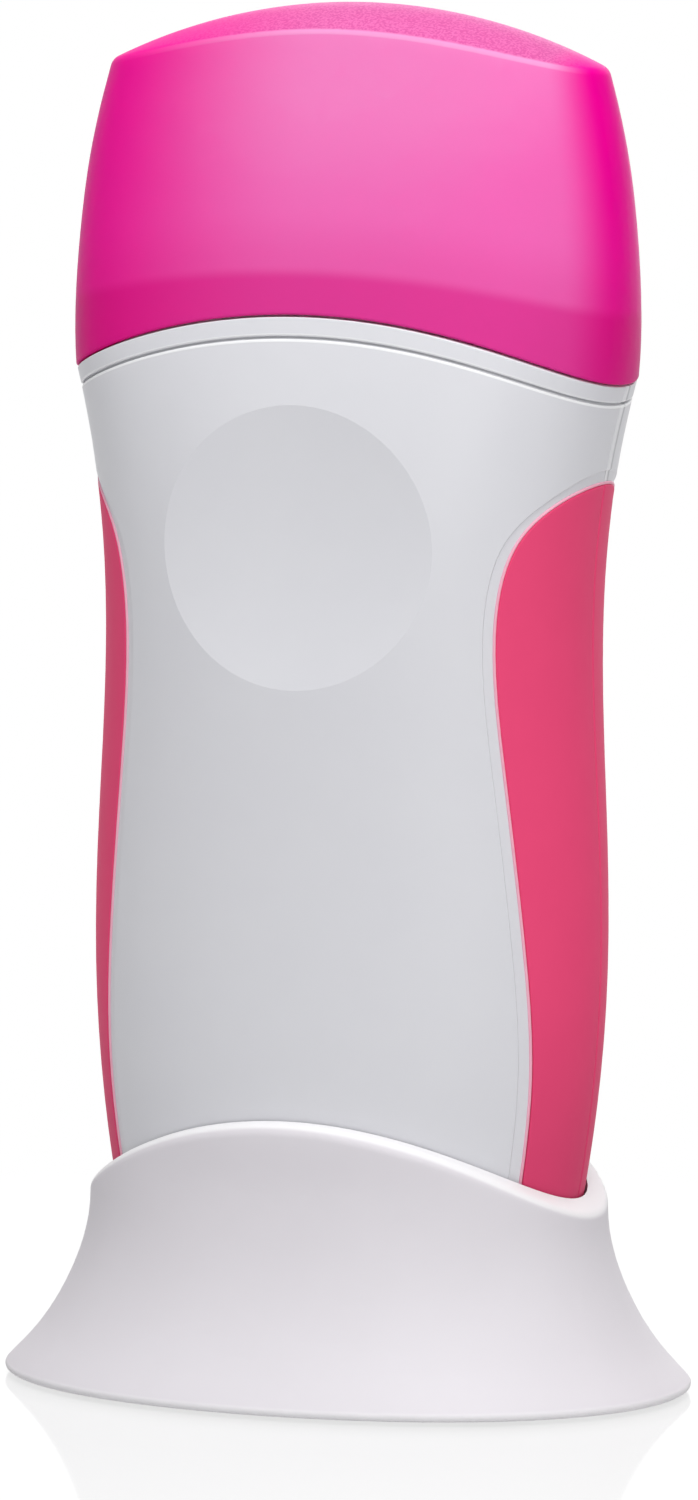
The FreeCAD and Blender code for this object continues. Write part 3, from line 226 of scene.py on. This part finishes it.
# %% The finish maker
class Finish(Nodes):
    """A material being built round one Principled shader."""

    def __init__(self, name, **constants):
        self.material = bpy.data.materials.new(name)
        self.material.use_nodes = True
        super().__init__(self.material.node_tree)
        self.shader = self.tree.nodes["Principled BSDF"]
        self.output = self.tree.nodes["Material Output"]
        for socket, value in constants.items():
            self.shader.inputs[socket.replace("_", " ")].default_value = value

    def set(self, **wires):
        """Feed the Principled shader's sockets. An underscore in a name stands for a space."""
        for name, value in wires.items():
            self.feed(self.shader.inputs[name.replace("_", " ")], value)
        return self

    def place(self):
        """The point on the piece, in metres from the origin under the stand."""
        return self.add("ShaderNodeTexCoord", output="Object")

    def along(self, axis):
        """One coordinate of that point, in millimetres."""
        parts = self.add("ShaderNodeSeparateXYZ", None, {0: self.place()}, output="XYZ".index(axis))
        return parts / MM

    def facing_up(self):
        """How far the skin faces up: 1 on a level top, 0 on an upright wall, -1 underneath."""
        normal = self.add("ShaderNodeTexCoord", output="Normal")
        return self.add("ShaderNodeSeparateXYZ", None, {0: normal}, output=2)

    def noise(self, size_mm, detail=2.0, stretch=None):
        """Noise from 0 to 1 whose features are about size_mm across."""
        vector = self.place()
        if stretch:
            vector = self.add("ShaderNodeMapping", None, {"Vector": vector, "Scale": stretch})
        settings = {"Vector": vector, "Scale": 1.0 / (size_mm * MM), "Detail": detail, "Roughness": 0.5}
        return self.add("ShaderNodeTexNoise", None, settings, output="Fac")

    def step(self, value, low, high):
        """A soft step: 0 up to the low value, 1 from the high one."""
        inputs = {"Value": value, "From Min": low, "From Max": high}
        return self.add("ShaderNodeMapRange", {"interpolation_type": "SMOOTHSTEP"}, inputs)

    def band(self, value, low, high, soft, share):
        """A band: the share between the two values, with soft edges outside them."""
        return self.step(value, low - soft, low) * (1 - self.step(value, high, high + soft)) * share

    def blend(self, amount, first, second):
        """Mix two colours by an amount from 0 to 1."""
        settings = {"data_type": "RGBA", "clamp_factor": True}
        return self.add("ShaderNodeMix", settings, {0: amount, 6: first, 7: second}, output=2)

    def relief(self, height, depth_mm):
        """Small relief of the surface: height from 0 to 1 stands for depth_mm."""
        inputs = {"Height": height, "Distance": depth_mm * MM, "Strength": 1.0}
        return self.set(Normal=self.add("ShaderNodeBump", None, inputs))


# %% Colours, and how a finish reaches its pieces
def srgb(code):
    """A linear RGBA colour from the hex code of the colour as the eye sees it."""
    values = [int(code[i:i + 2], 16) / 255 for i in (0, 2, 4)]
    return [v / 12.92 if v <= 0.04045 else ((v + 0.055) / 1.055) ** 2.4 for v in values] + [1.0]


def paint(finish, *nodes):
    """Give pieces one finish: the smooth skin where there is one, or else the CAD piece."""
    for node in nodes:
        piece = skins.get(node) or frame["nodes"][node]
        piece.data.materials.clear()
        piece.data.materials.append(finish.material)


# %% [markdown]
# ## Satin ABS: the housing and the stand
# Both are moulded in a light grey ABS. The tool is spark-eroded very finely, so the skin is satin: it
# shows a soft highlight and almost no texture. Two noises do this. A broad one moves the roughness a
# little, as handling and flow in the mould do, and a fine one gives a relief of a few microns. Where
# two mouldings meet, a highlight is painted on the rounded lips, and shade is painted in the groove
# and beside the seam's lip. The groove runs under the collar, and its height falls in an arc to both
# sides; the seam runs above the grips. On the stand only a highlight is painted, along its rim, which
# falls in an arc as well, and along the edge that it stands on.

# %% The grey mouldings
def satin(name, colour, shade, roughness, shine=0.5, painted_light=None):
    """Fine satin plastic between two near shades, with painted highlights and shade where a function draws
    them.
    """
    finish = Finish(name, Specular_IOR_Level=shine)
    cloud = finish.noise(14.0, detail=3.0)
    grain = finish.noise(0.16, detail=1.0)
    plain = finish.blend(cloud, srgb(colour), srgb(shade))
    finish.set(
        Base_Color=painted_light(finish, plain) if painted_light else plain,
        Roughness=(cloud - 0.5) * 0.05 + (grain - 0.5) * 0.06 + roughness,
    )
    finish.relief(grain, 0.0045)
    return finish


# %% Painted highlights and shade on the lips of the housing
# Each band, in millimetres: its low and high limit, its soft edge, and its share.
# Lip bands are painted highlights; line bands are painted shade in the groove and beside the seam.
UPPER_LIP_HIGHLIGHT = (0.24, 0.50, 0.1, 0.35)
LOWER_LIP_HIGHLIGHT = (-0.50, -0.24, 0.1, 0.6)
GROOVE_PAINTED_SHADE = (-0.06, 0.06, 0.1, 0.6)
SEAM_LIP_HIGHLIGHT = (0.2, 0.9, 0.2, 0.35)
SEAM_PAINTED_SHADE = (1.3, 1.75, 0.25, 0.5)
GROOVE_Z, GROOVE_ARC, SEAM_FROM_Z = 143.9, 84.8, 112.0
HIGHLIGHT_WHITE, SHADE_GREY = (1.0, 1.0, 1.0, 1.0), (0.25, 0.25, 0.27, 1.0)


def groove_and_seam_painted_light(finish, plain):
    """Paint highlights on the lips of the groove and of the seam, and shade on the lines beside them."""
    x, y, z = (finish.along(axis) for axis in "XYZ")
    from_groove = z - GROOVE_Z + GROOVE_ARC - (GROOVE_ARC ** 2 - x * x).root()
    high_up = finish.step(z, SEAM_FROM_Z, SEAM_FROM_Z + 1)
    # Painted highlights on the rounded lips of the groove and of the seam.
    highlights = finish.band(from_groove, *UPPER_LIP_HIGHLIGHT) + finish.band(from_groove, *LOWER_LIP_HIGHLIGHT)
    highlights = highlights + finish.band(y, *SEAM_LIP_HIGHLIGHT) * high_up
    # Painted shade in the groove and along the far side of the seam.
    painted_shade = finish.band(y, *SEAM_PAINTED_SHADE) * high_up + finish.band(from_groove, *GROOVE_PAINTED_SHADE)
    return finish.blend(highlights.clipped(), finish.blend(painted_shade.clipped(), plain, SHADE_GREY), HIGHLIGHT_WHITE)


paint(satin("housing_abs", "DBDBDF", "D7D7DC", 0.36, painted_light=groove_and_seam_painted_light), "front_shell", "rear_shell")

# %% Painted highlights on the lips of the stand
RIM_HIGHLIGHT = (-0.4, 1.2, 0.5, 0.6)
FOOT_EDGE_HIGHLIGHT = (-1.0, 1.2, 0.8, 0.45)
RIM_TOP, RIM_ARC = 38.6, 55.2
ROUNDING_FROM, ROUNDING_FULL = 0.05, 0.45


def stand_painted_highlights(finish, plain):
    """Paint a highlight on the lip of the stand's arched rim, and a little on the edge that it stands on."""
    x, z = finish.along("X"), finish.along("Z")
    from_rim = z - RIM_TOP + RIM_ARC - (RIM_ARC ** 2 - x * x).root()
    on_rounding = finish.step(finish.facing_up(), ROUNDING_FROM, ROUNDING_FULL)
    # Painted highlight on the up-facing rounding of the rim, and on the edge that the stand stands on.
    highlights = finish.band(from_rim, *RIM_HIGHLIGHT) * on_rounding + finish.band(z, *FOOT_EDGE_HIGHLIGHT)
    return finish.blend(highlights.clipped(), plain, HIGHLIGHT_WHITE)


paint(satin("stand_abs", "E2DEE3", "DEDADF", 0.55, shine=0.35, painted_light=stand_painted_highlights), "stand_shell")
paint(satin("bottom_abs", "A9A8AC", "A3A2A6", 0.5), "stand_base_plate")
paint(satin("neck_abs", "E6E2E5", "E1DDE1", 0.45), "neck_frame")

# %% [markdown]
# ## Soft-touch rubber: the grips
# The grips are a thermoplastic rubber moulded over the housing. Rubber scatters light in its surface,
# so its highlight is wide and weak, and on the grips hardly there. The feet and the seal also have a
# trace of sheen, which lifts the colour where it turns away from the eye. A fine grain keeps rubber
# from looking like paint, and painted shade makes the grips a little deeper where they go down into
# the stand.

# %% The coral grips and the feet
FOOT_SHADE_DEEPEST, FOOT_SHADE_GONE = 14.0, 62.0


def soft_rubber(name, colour, shade, roughness, sheen, foot_shade=0.0, shine=0.3):
    """Matte rubber, with painted shade by a share towards the foot."""
    finish = Finish(name, Sheen_Weight=sheen, Sheen_Roughness=0.5, Specular_IOR_Level=shine)
    cloud = finish.noise(9.0, detail=3.0)
    grain = finish.noise(0.22, detail=2.0)
    plain = finish.blend(cloud, srgb(colour), srgb(shade))
    if foot_shade:
        # Painted shade: darker towards the foot, where the grips go down into the stand.
        low = (1 - finish.step(finish.along("Z"), FOOT_SHADE_DEEPEST, FOOT_SHADE_GONE)) * foot_shade
        plain = finish.blend(low, plain, (0.0, 0.0, 0.0, 1.0))
    finish.set(Base_Color=plain, Roughness=(grain - 0.5) * 0.08 + roughness)
    finish.relief(grain, 0.012)
    return finish


SHELL_OF_GRIP = {
    "front_grip_right": "front_shell",
    "front_grip_left": "front_shell",
    "rear_grip_right": "rear_shell",
    "rear_grip_left": "rear_shell",
}
# The grips take painted shade towards the foot.
paint(soft_rubber("grip_rubber", "EE4B7A", "E84676", 0.6, 0.0, foot_shade=0.2, shine=0.15), *SHELL_OF_GRIP)
paint(soft_rubber("foot_rubber", "3A3A3D", "333336", 0.7, 0.1), "stand_feet")
paint(soft_rubber("seal_rubber", "DEDAD4", "D6D2CC", 0.6, 0.1), "head_seal")

# %% [markdown]
# ## The pale bead round each grip
# Rubber that is moulded onto a housing often ends in a thin bead in the corner between the two. Its
# pale pink is a painted highlight along the grip's edge. A bead follows a line, so the line comes
# first. It is the housing's own lip
# beside the grip: the edges that lie close to the grip and turn outwards sharply. Those edges become a
# curve, the curve gets a round section, and the result is turned back into a mesh.

# %% Find the lip beside a grip
BEAD_REACH = 0.5 * MM
SEAM_CLEAR = 0.1 * MM
LIP_TURN = math.cos(math.radians(25))


def lip_beside(shell, grip):
    """The sharp outward edges of a shell that lie close to a grip, as pairs of vertices."""
    faces = [tuple(face.vertices) for face in grip.polygons]
    tree = BVHTree.FromPolygons([vertex.co for vertex in grip.vertices], faces)
    close = [tree.find_nearest(vertex.co, BEAD_REACH)[0] is not None for vertex in shell.vertices]
    at_seam = [abs(vertex.co.y) < SEAM_CLEAR for vertex in shell.vertices]
    sides = {}
    for face in shell.polygons:
        for first, second in face.edge_keys:
            if close[first] and close[second] and not (at_seam[first] and at_seam[second]):
                sides.setdefault((first, second), []).append(face)
    lip = []
    for pair, (one, *others) in sides.items():
        for other in others:
            turns_outwards = (other.center - one.center).dot(one.normal) < 0
            if turns_outwards and one.normal.dot(other.normal) < LIP_TURN:
                lip.append(pair)
    return lip


# %% Lay the beads
BEAD_RADIUS = 0.22 * MM


def lay_bead(grip):
    """A thin round bead along the lip that a grip is moulded against."""
    shell = skins[SHELL_OF_GRIP[grip]].data
    pairs = lip_beside(shell, skins[grip].data)
    used = sorted({index for pair in pairs for index in pair})
    place = {index: number for number, index in enumerate(used)}
    mesh = bpy.data.meshes.new(grip + "_bead")
    mesh.from_pydata([shell.vertices[i].co for i in used], [(place[a], place[b]) for a, b in pairs], [])
    bead = bpy.data.objects.new(SKINS[grip] + "_bead", mesh)
    bpy.context.scene.collection.objects.link(bead)
    select_only(bead)
    bpy.ops.object.convert(target="CURVE")
    bead.data.bevel_depth = BEAD_RADIUS
    bead.data.bevel_resolution = 2
    bead.data.use_fill_caps = True
    lengths = [len(spline.points) for spline in bead.data.splines]
    bpy.ops.object.convert(target="MESH")
    bpy.ops.object.shade_smooth()
    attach(bead, body_of_node[grip])
    print(bead.name, "lines of", lengths, "points,", len(bead.data.polygons), "faces")
    return bead


# The bead's pale pink is a painted highlight along the grip's edge, with painted shade towards the foot.
bead_highlight_finish = soft_rubber("bead_painted_highlight", "F6B4C9", "F2ABC1", 0.55, 0.0, foot_shade=0.1)
for grip in SHELL_OF_GRIP:
    lay_bead(grip).data.materials.append(bead_highlight_finish.material)

# %% [markdown]
# ## Frosted polypropylene: the cap
# The cap is a clear pink moulding with a matte skin. About two thirds of its light is scattered in the
# plastic, and the rest passes through and blurs what is behind, so the shader is one third rough
# transmission. Some of what the eye sees comes from light that is scattered many times inside the
# cavity, and a shader needs help with that. Round the ends the eye looks along the wall, so the pink
# is deepest there, and it deepens sooner on the left, which has less light. Along the lower edge the
# cap runs close over the neck and no light comes from behind, so the pink is deeper below the line of
# the neck's top and already a little above it. These are masks on the place along and up the cap, and
# those of the ends are written as shares of its half width, which shrinks upwards. The crown holds back
# a little light and shows the grain of the mould, and the rounded crease round it gathers light. Those
# two go by how far the skin faces up, since that is what sets crown, crease and wall apart.

# %% The pinks of the cap, and where they lie
CAP_RIM_Z, CAP_HALF, CAP_TAPER = 141.0, 40.3, 0.0037
LEFT_END_FROM, LEFT_END_TO = 0.0, 0.967
RIGHT_END_FROM, RIGHT_END_TO = 0.84, 0.985
CREASE_FROM, CREASE_FULL, CREASE_TO, CROWN_FULL = 0.22, 0.40, 0.58, 0.74
NECK_TOP, NECK_TOP_FALL, NECK_TOP_SPAN = 152.8, 4.7, 36.6
NECK_EDGE_FROM, NECK_EDGE_TO, NECK_EDGE_SHARE = -0.7, 1.3, 0.68
NECK_SHADE_FROM, NECK_SHADE_TO = -9.0, -0.5
SPECKLE_FROM, SPECKLE_TO = 0.36, 0.64
CAP_MIDDLE = (1.0, 0.170, 0.565, 1.0)
CAP_END = (1.0, 0.0, 0.38, 1.0)
CAP_LOW_END = (0.88, 0.0, 0.29, 1.0)
CAP_CROWN_DEEP, CAP_CROWN_PALE = (0.70, 0.10, 0.37, 1.0), (0.84, 0.18, 0.49, 1.0)
CAP_CREASE = (1.0, 0.42, 0.76, 1.0)
CAP_OVER_NECK = (0.86, 0.058, 0.37, 1.0)

# %% Mix the cap's finish
cap = Finish(
    "cap_frosted", IOR=1.46, Transmission_Weight=0.3, Specular_IOR_Level=0.008,
    Specular_Tint=(1.0, 0.12, 0.6, 1.0),
)
cap_x, cap_z, cap_up = cap.along("X"), cap.along("Z"), cap.facing_up()
cap_aside = cap_x / (CAP_HALF - (cap_z - CAP_RIM_Z) ** 2 * CAP_TAPER)
toward_left = cap.step(0 - cap_aside, LEFT_END_FROM, LEFT_END_TO)
toward_end = toward_left + cap.step(cap_aside, RIGHT_END_FROM, RIGHT_END_TO)
below_neck_top = NECK_TOP - (cap_x / NECK_TOP_SPAN) ** 2 * NECK_TOP_FALL - cap_z
neck_edge = cap.step(below_neck_top, NECK_EDGE_FROM, NECK_EDGE_TO)
neck_shade = cap.step(below_neck_top, NECK_SHADE_FROM, NECK_SHADE_TO)
over_neck = neck_edge * NECK_EDGE_SHARE + neck_shade * (1 - NECK_EDGE_SHARE)
on_crown = cap.step(cap_up, CREASE_TO, CROWN_FULL)
on_crease = cap.step(cap_up, CREASE_FROM, CREASE_FULL) * (1 - on_crown)

cap_cloud = cap.noise(11.0, detail=3.0)
cap_grain = cap.noise(0.18, detail=2.0)
cap_speckle = cap.step(cap.noise(0.35, detail=1.0), SPECKLE_FROM, SPECKLE_TO)
crown_pink = cap.blend(cap_speckle, CAP_CROWN_DEEP, CAP_CROWN_PALE)
lit_pink = cap.blend(on_crease, cap.blend(on_crown, CAP_MIDDLE, crown_pink), CAP_CREASE)
cap.set(
    Base_Color=cap.blend(
        toward_end,
        cap.blend(over_neck, lit_pink, CAP_OVER_NECK),
        cap.blend(over_neck, CAP_END, CAP_LOW_END),
    ),
    Roughness=(cap_grain - 0.5) * 0.08 + cap_cloud * 0.03 + 0.36,
)
cap.relief(cap_grain, 0.006)
paint(cap, "cap")

# %% [markdown]
# ## The cartridge
# The wax sits in a milky tank. Its roller and head are white, and the wax has set to a pearly pink
# amber. None of this shows while the cap is on, but it does when the cap is pulled off.

# %% Tank, head, roller and wax
tank = Finish("tank_plastic", IOR=1.5, Transmission_Weight=0.5)
tank_cloud = tank.noise(8.0)
tank.set(Base_Color=tank.blend(tank_cloud, srgb("F4F0EA"), srgb("EEE9E2")), Roughness=tank_cloud * 0.1 + 0.3)
paint(tank, "wax_tank")

paint(satin("applicator_white", "F0EEEC", "ECE9E7", 0.3), "roller_head")
paint(satin("roller_white", "F4F2F1", "EFEDEC", 0.24), "roller")

wax = Finish("wax_set", Subsurface_Weight=0.3, Subsurface_Radius=(0.004, 0.002, 0.001), IOR=1.44)
wax_cloud = wax.noise(12.0, detail=4.0)
wax.set(Base_Color=wax.blend(wax_cloud, srgb("E6A06E"), srgb("F0B78C")), Roughness=wax_cloud * 0.2 + 0.25)
wax.relief(wax_cloud, 0.3)
paint(wax, "wax_fill")

# %% [markdown]
# ## Metal
# Drawn aluminium keeps fine lines along the draw, here upwards, and rolled or turned steel keeps them
# along its own length. Noise that is stretched in one direction gives such lines, both as relief and as
# changes of roughness.

# %% Aluminium, steel and brass
def drawn_metal(name, colour, roughness, stretch):
    """Bare metal with fine lines along one direction."""
    finish = Finish(name, Metallic=1.0)
    lines = finish.noise(1.2, detail=3.0, stretch=stretch)
    cloud = finish.noise(10.0)
    finish.set(
        Base_Color=finish.blend(cloud, srgb(colour), [0.9 * v for v in srgb(colour)[:3]] + [1.0]),
        Roughness=(lines - 0.5) * 0.15 + roughness,
    )
    finish.relief(lines, 0.01)
    return finish


UPWARDS = (6.0, 6.0, 0.3)
ALONG_Y = (6.0, 0.3, 6.0)
ALONG_X = (0.3, 6.0, 6.0)
paint(drawn_metal("sleeve_aluminium", "D3D4D6", 0.35, UPWARDS), "heating_chamber")
paint(drawn_metal("screw_steel", "B9BABD", 0.28, ALONG_Y), "shell_screws", "clamp_screws", "board_screws")
paint(drawn_metal("bottom_screw_steel", "B9BABD", 0.28, UPWARDS), "stand_screws")
paint(drawn_metal("clamp_spring_steel", "AEB0B4", 0.3, ALONG_X), "heater_clamp")
paint(drawn_metal("contact_brass", "D8C48A", 0.22, ALONG_Y), "inlet_pins")

# %% [markdown]
# ## The pieces inside
# They are hidden in use, but a maker's model has them, so each gets the finish of its own material:
# a black socket, a brown laminate board, dipped components, glazed fuse, insulated leads and a
# heat-resistant cradle.

# %% Inner finishes
paint(satin("socket_black", "1D1D1F", "232326", 0.5), "mains_inlet")
paint(satin("cradle_black", "2A2A2C", "303033", 0.6), "chamber_cradle")
paint(satin("board_laminate", "8C6B3C", "7E5F34", 0.55), "circuit_board")
paint(satin("component_dip", "B5651F", "A95C1A", 0.3), "board_components")
paint(satin("fuse_glaze", "E9E7E0", "E2E0D9", 0.25), "thermal_fuse")
paint(satin("lead_insulation", "DCDCD8", "D3D3CF", 0.45), "lead_wires")
paint(satin("heater_insulation", "D8CDB4", "CFC3A8", 0.5), "heater_element")

# %% [markdown]
# ## The camera
# The heater is seen from the front, about 20 degrees towards its right-hand grips and a little from
# above, with a long lens, which keeps its sides nearly parallel. The camera's place comes from two
# angles and a distance from a target on the heater. A small roll and a small shift set the framing.

# %% Place the camera
IMAGE_WIDTH, IMAGE_HEIGHT = 698, 1500
AZIMUTH = math.radians(20.28)
ELEVATION = math.radians(5.80)
ROLL = math.radians(0.555)
DISTANCE = 1406.8 * MM
TARGET = Vector((-0.166, 0.0, 89.61)) * MM
FOCAL_PIXELS = 10360.8
CENTRE_X, CENTRE_Y = 351.87, 727.84

right = Vector((math.cos(AZIMUTH), math.sin(AZIMUTH), 0.0))
away = Vector((
    math.sin(AZIMUTH) * math.cos(ELEVATION),
    -math.cos(AZIMUTH) * math.cos(ELEVATION),
    math.sin(ELEVATION),
))
up = away.cross(right)
rolled_right = right * math.cos(ROLL) + up * math.sin(ROLL)
rolled_up = up * math.cos(ROLL) - right * math.sin(ROLL)

lens = bpy.data.cameras.new("camera")
lens.sensor_width = 36.0
lens.lens = FOCAL_PIXELS / IMAGE_HEIGHT * lens.sensor_width
lens.shift_x = -(CENTRE_X - IMAGE_WIDTH / 2) / IMAGE_HEIGHT
lens.shift_y = (CENTRE_Y - IMAGE_HEIGHT / 2) / IMAGE_HEIGHT
lens.clip_start, lens.clip_end = 0.05, 20.0
camera = bpy.data.objects.new("camera", lens)
bpy.context.scene.collection.objects.link(camera)
turn = Matrix((rolled_right, rolled_up, away)).transposed()
camera.matrix_world = Matrix.Translation(TARGET + away * DISTANCE) @ turn.to_4x4()
bpy.context.scene.camera = camera
print("camera at", [round(v, 3) for v in camera.location], "lens", round(lens.lens, 1), "mm")

# %% [markdown]
# ## The floor and the white room
# A product picture has a white room with no corner. The floor shows a soft shadow and a faint mirror
# image near the object, and farther out it fades into plain white. Only the camera's own rays, and
# those that gloss or clear plastic send on, see that white: the light on the object stays as it is.

# %% Make the floor
FLOOR_SIZE = 6.0
FADE_FROM, FADE_TO, NEAR_WHITE = 0.06, 0.20, 0.72
WHITE = (1.0, 1.0, 1.0, 1.0)

bpy.ops.object.select_all(action="DESELECT")
bpy.ops.mesh.primitive_plane_add(size=FLOOR_SIZE, location=(0, 0, 0))
floor = bpy.context.active_object
floor.name = "floor"

# %% The floor's finish
floor_finish = Finish("floor_white", Roughness=0.06, IOR=1.45, Base_Color=(0.62, 0.62, 0.625, 1.0))
from_middle = {0: floor_finish.place()}
spot = floor_finish.add("ShaderNodeVectorMath", {"operation": "LENGTH"}, from_middle, output="Value")
fade = ((spot - FADE_FROM) / (FADE_TO - FADE_FROM)).clipped()
white = floor_finish.add("ShaderNodeEmission", None, {"Color": WHITE, "Strength": 1.0})
near = Wire(floor_finish, floor_finish.shader.outputs[0])
shown = (fade * (1 - NEAR_WHITE) + NEAR_WHITE) * floor_finish.sees_white()
mixed = floor_finish.add("ShaderNodeMixShader", None, {0: shown, 1: near, 2: white})
floor_finish.feed(floor_finish.output.inputs["Surface"], mixed)
floor.data.materials.append(floor_finish.material)
print("the floor is all white from", FADE_TO, "m")

# %% Light the room
ROOM_COLOUR, ROOM_DIM = (0.95, 0.97, 1.0, 1.0), 0.12

world = bpy.data.worlds.new("room")
world.use_nodes = True
bpy.context.scene.world = world
room = Nodes(world.node_tree)
room.tree.nodes.remove(room.tree.nodes["Background"])
dim = room.add("ShaderNodeBackground", None, {"Color": ROOM_COLOUR, "Strength": ROOM_DIM})
plain = room.add("ShaderNodeBackground", None, {"Color": WHITE, "Strength": 1.0})
both = room.add("ShaderNodeMixShader", None, {0: room.sees_white(), 1: dim, 2: plain})
room.feed(room.tree.nodes["World Output"].inputs["Surface"], both)

# %% [markdown]
# ## Soft boxes
# A very large soft box straight above is the main light, and a key box in front on the right models
# the body. A small one in front and above lifts the crown and the shoulders. Weak ones at both sides
# and low in front open up the flanks and the foot of the stand. Those on the right are about twice as
# strong as those on the left, so that the left-hand side stays a little darker. One behind lights the
# back, so that the heater can be looked at from all sides.

# %% Hang the soft boxes
def soft_box(name, place, aim, width, height, power):
    """A rectangular lamp at a place, turned to face a point."""
    lamp = bpy.data.lights.new(name, "AREA")
    lamp.shape = "RECTANGLE"
    lamp.size, lamp.size_y = width, height
    lamp.energy = power
    holder = bpy.data.objects.new(name, lamp)
    bpy.context.scene.collection.objects.link(holder)
    holder.location = place
    holder.rotation_euler = (Vector(aim) - Vector(place)).to_track_quat("-Z", "Y").to_euler()
    return holder


MIDDLE = (0.0, 0.0, 0.09)
soft_box("sky_box", (0.0, 0.0, 1.0), MIDDLE, 0.9, 0.9, 7.8)
soft_box("key_box", (0.55, -0.95, 0.75), MIDDLE, 0.8, 0.8, 3.0)
soft_box("front_top_box", (0.15, -0.35, 0.55), MIDDLE, 0.3, 0.3, 1.2)
soft_box("right_box", (1.1, -0.25, 0.3), MIDDLE, 0.5, 0.9, 1.4)
soft_box("left_box", (-1.1, -0.4, 0.35), MIDDLE, 0.6, 0.9, 0.65)
soft_box("low_right_box", (0.6, -1.1, 0.15), MIDDLE, 0.5, 0.5, 1.35)
soft_box("low_left_box", (-0.5, -1.1, 0.15), MIDDLE, 0.5, 0.5, 0.65)
soft_box("back_box", (-0.1, 1.2, 0.4), MIDDLE, 0.9, 0.7, 1.9)
bpy.context.scene.view_settings.view_transform = "Standard"
print("soft boxes:", len(bpy.data.lights))
